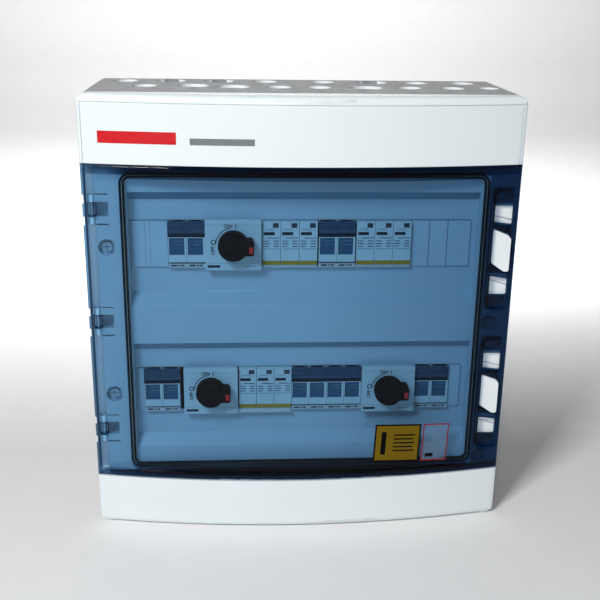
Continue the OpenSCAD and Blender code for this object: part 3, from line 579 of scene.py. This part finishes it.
def dress_door_rim():
    """Paler line that runs round the middle of the dark rim of the window."""
    lo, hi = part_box("door_gasket")
    inset = 1.9 * MM
    radius = 8.1 * MM
    width = 0.8 * MM
    bm = bmesh.new()
    add_ring(bm, lo.x + inset, hi.x - inset, lo.z + inset, hi.z - inset, radius, width,
             lo.y - 0.25 * MM, lo.y - 0.1 * MM)
    finish_piece("rim_line", bm, SEAL_EDGE, "door")


def front_y(x, inset):
    """Y of the bulged front at x, that far behind its surface."""
    lo, hi = Vector(cad_box[0]), Vector(cad_box[1])
    half = (hi.x - lo.x) / 2
    radius = (half * half + FRONT_BULGE * FRONT_BULGE) / (2 * FRONT_BULGE)
    return lo.y + radius - math.sqrt((radius - inset) ** 2 - x * x)


def add_film(bm, corner, tilt, u0, u1, v0, v1, inset, thickness, steps=8):
    """Adds a thin plate on the bulged front, given along a label turned clockwise about its corner."""
    rings = []
    for i in range(steps + 1):
        u = u0 + (u1 - u0) * i / steps
        ring = []
        for v, back in ((v0, 0), (v1, 0), (v1, thickness), (v0, thickness)):
            x = corner[0] + u * math.cos(tilt) + v * math.sin(tilt)
            z = corner[1] - u * math.sin(tilt) + v * math.cos(tilt)
            ring.append(bm.verts.new((x, front_y(x, inset) + back, z)))
        rings.append(ring)
    for a, b in zip(rings, rings[1:]):
        for k in range(4):
            bm.faces.new((a[k], a[(k + 1) % 4], b[(k + 1) % 4], b[k]))
    bm.faces.new(rings[0])
    bm.faces.new(rings[-1])


def film(name, corner, tilt, bars, material, body, inset, thickness):
    """One piece made of thin plates on the bulged front, each (u0, u1, v0, v1) from a corner."""
    bm = bmesh.new()
    for bar in bars:
        add_film(bm, corner, tilt, *bar, inset, thickness)
    return finish_piece(name, bm, material, body)


def border(w, h, t):
    """Four bars round a label of that width and height."""
    return [(0, w, h - t, h), (0, w, 0, t), (0, t, t, h - t), (w - t, w, t, h - t)]


def label_corner(box, height):
    """Lower left corner of a turned door label."""
    lo, hi = box
    return (lo.x, hi.z - height * math.cos(TILT))


def dress_labels():
    """Generic borders and bars on the two door labels."""
    inset = 0.82 * MM
    thick = 0.1 * MM
    w, h = WARNING_SIZE
    corner = label_corner(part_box("warning_label"), h)
    film("yellow_label_border", corner, TILT, border(w, h, 1.6 * MM), FILM_BLACK, "door", inset, thick)
    bars = [(7 * MM, 12 * MM, 8 * MM, 33 * MM)]
    pitch = 4.3
    half_line = 0.75 * MM
    for k in range(5):
        v = (29.5 - pitch * k) * MM
        bars.append((19.5 * MM, (41.5 - 1.6 * (k % 2)) * MM, v - half_line, v + half_line))
    film("yellow_label_bars", corner, TILT, bars, FILM_BLACK, "door", inset, thick)
    w, h = STRING_SIZE
    corner = label_corner(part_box("string_label"), h)
    film("pale_label_border", corner, TILT, border(w, h, 1.2 * MM), FILM_RED, "door", inset, thick)
    film("pale_label_bar", corner, TILT, [(4.5 * MM, 12.5 * MM, 4.5 * MM, 8.2 * MM)], FILM_BLACK, "door",
         inset, thick)


def dress_top_band():
    """A plain red bar and a plain grey bar on the top band."""
    inset = -0.06 * MM
    thick = 0.2 * MM
    foot = 390 * MM
    for name, x0, x1, height, material in (("badge_red_bar", -187, -116, 11, RED),
                                           ("badge_grey_bar", -104, -46, 6, GREY_INK)):
        bar = (x0 * MM, x1 * MM, foot, foot + height * MM)
        film(name, (0, 0), 0, [bar], material, "enclosure", inset, thick)


# ---------- stage ----------

def lamp(name, place, target, size, power, colour=(1, 1, 1)):
    """Square area light of a size and power that points at a target."""
    data = bpy.data.lights.new(name, "AREA")
    data.size = size
    data.energy = power
    data.color = colour
    holder = bpy.data.objects.new(name, data)
    bpy.context.scene.collection.objects.link(holder)
    holder.location = place
    holder.rotation_euler = (Vector(target) - Vector(place)).to_track_quat("-Z", "Y").to_euler()


def set_stage():
    """Pale floor that turns up into a backdrop, a soft key light, a small flash and a weak fill."""
    profile = [(-5.0, 0.0), (2.6, 0.0), (2.9, 0.05), (3.15, 0.2), (3.25, 0.5), (3.25, 3.0)]
    half_width = 5.0
    gap = 0.5 * MM
    bm = bmesh.new()
    rows = [[bm.verts.new((x, y, z - gap)) for x in (-half_width, half_width)] for y, z in profile]
    for a, b in zip(rows, rows[1:]):
        bm.faces.new((a[0], a[1], b[1], b[0]))
    mesh = bpy.data.meshes.new("floor")
    bm.to_mesh(mesh)
    bm.free()
    mesh.materials.append(surface("floor_white", (0.86, 0.86, 0.86), 0.7, relief=0.0, mottle=0.01, bevel=0))
    for polygon in mesh.polygons:
        polygon.use_smooth = True
    floor = bpy.data.objects.new("floor", mesh)
    bpy.context.scene.collection.objects.link(floor)
    world = bpy.data.worlds.new("studio")
    world.use_nodes = True
    world.node_tree.nodes["Background"].inputs["Color"].default_value = (0.95, 0.98, 1.0, 1)
    world.node_tree.nodes["Background"].inputs["Strength"].default_value = 0.17
    bpy.context.scene.world = world
    middle = (0, 0, 0.24)
    lamp("key", (-0.85, -1.25, 1.5), middle, 0.45, 29)
    lamp("fill", (1.4, -1.3, 0.7), middle, 1.0, 0.5, (0.93, 0.97, 1.0))
    lamp("flash", (-0.0865, -0.92, 0.56), middle, 0.05, 1.1)
    lamp("backdrop", (0, 0.9, 1.3), (0, 3.0, 0), 1.2, 48)
    bpy.context.scene.view_settings.view_transform = "Standard"


def set_camera():
    """Camera at the photo's viewing angle: place, then yaw, pitch and roll in degrees."""
    place = Vector((-0.0575, -0.9116, 0.5277))
    yaw, pitch, roll = (math.radians(a) for a in (-3.980, 18.611, 0.911))
    level = Matrix(((1, 0, 0), (0, 0, -1), (0, 1, 0)))
    turned = Matrix.Rotation(roll, 3, "Z") @ Matrix.Rotation(pitch, 3, "X") @ Matrix.Rotation(yaw, 3, "Y")
    view = turned @ level
    right, down, ahead = view
    axes = Matrix((right, -down, -ahead)).transposed()
    data = bpy.data.cameras.new("camera")
    data.sensor_width = 36
    data.lens = 56.3
    data.shift_x = -0.008
    data.clip_start = 0.01
    camera = bpy.data.objects.new("camera", data)
    camera.matrix_world = Matrix.Translation(place) @ axes.to_4x4()
    bpy.context.scene.collection.objects.link(camera)
    bpy.context.scene.camera = camera


set_camera()
set_stage()
dress_cad()
for i in ISOLATORS:
    dress_isolator(i)
for i in CARTRIDGES:
    dress_cartridge(i)
for i in CARRIERS:
    dress_carrier(i)
for i in FUSE_BASES:
    dress_fuse_base(i)
dress_door_rim()
dress_labels()
dress_top_band()
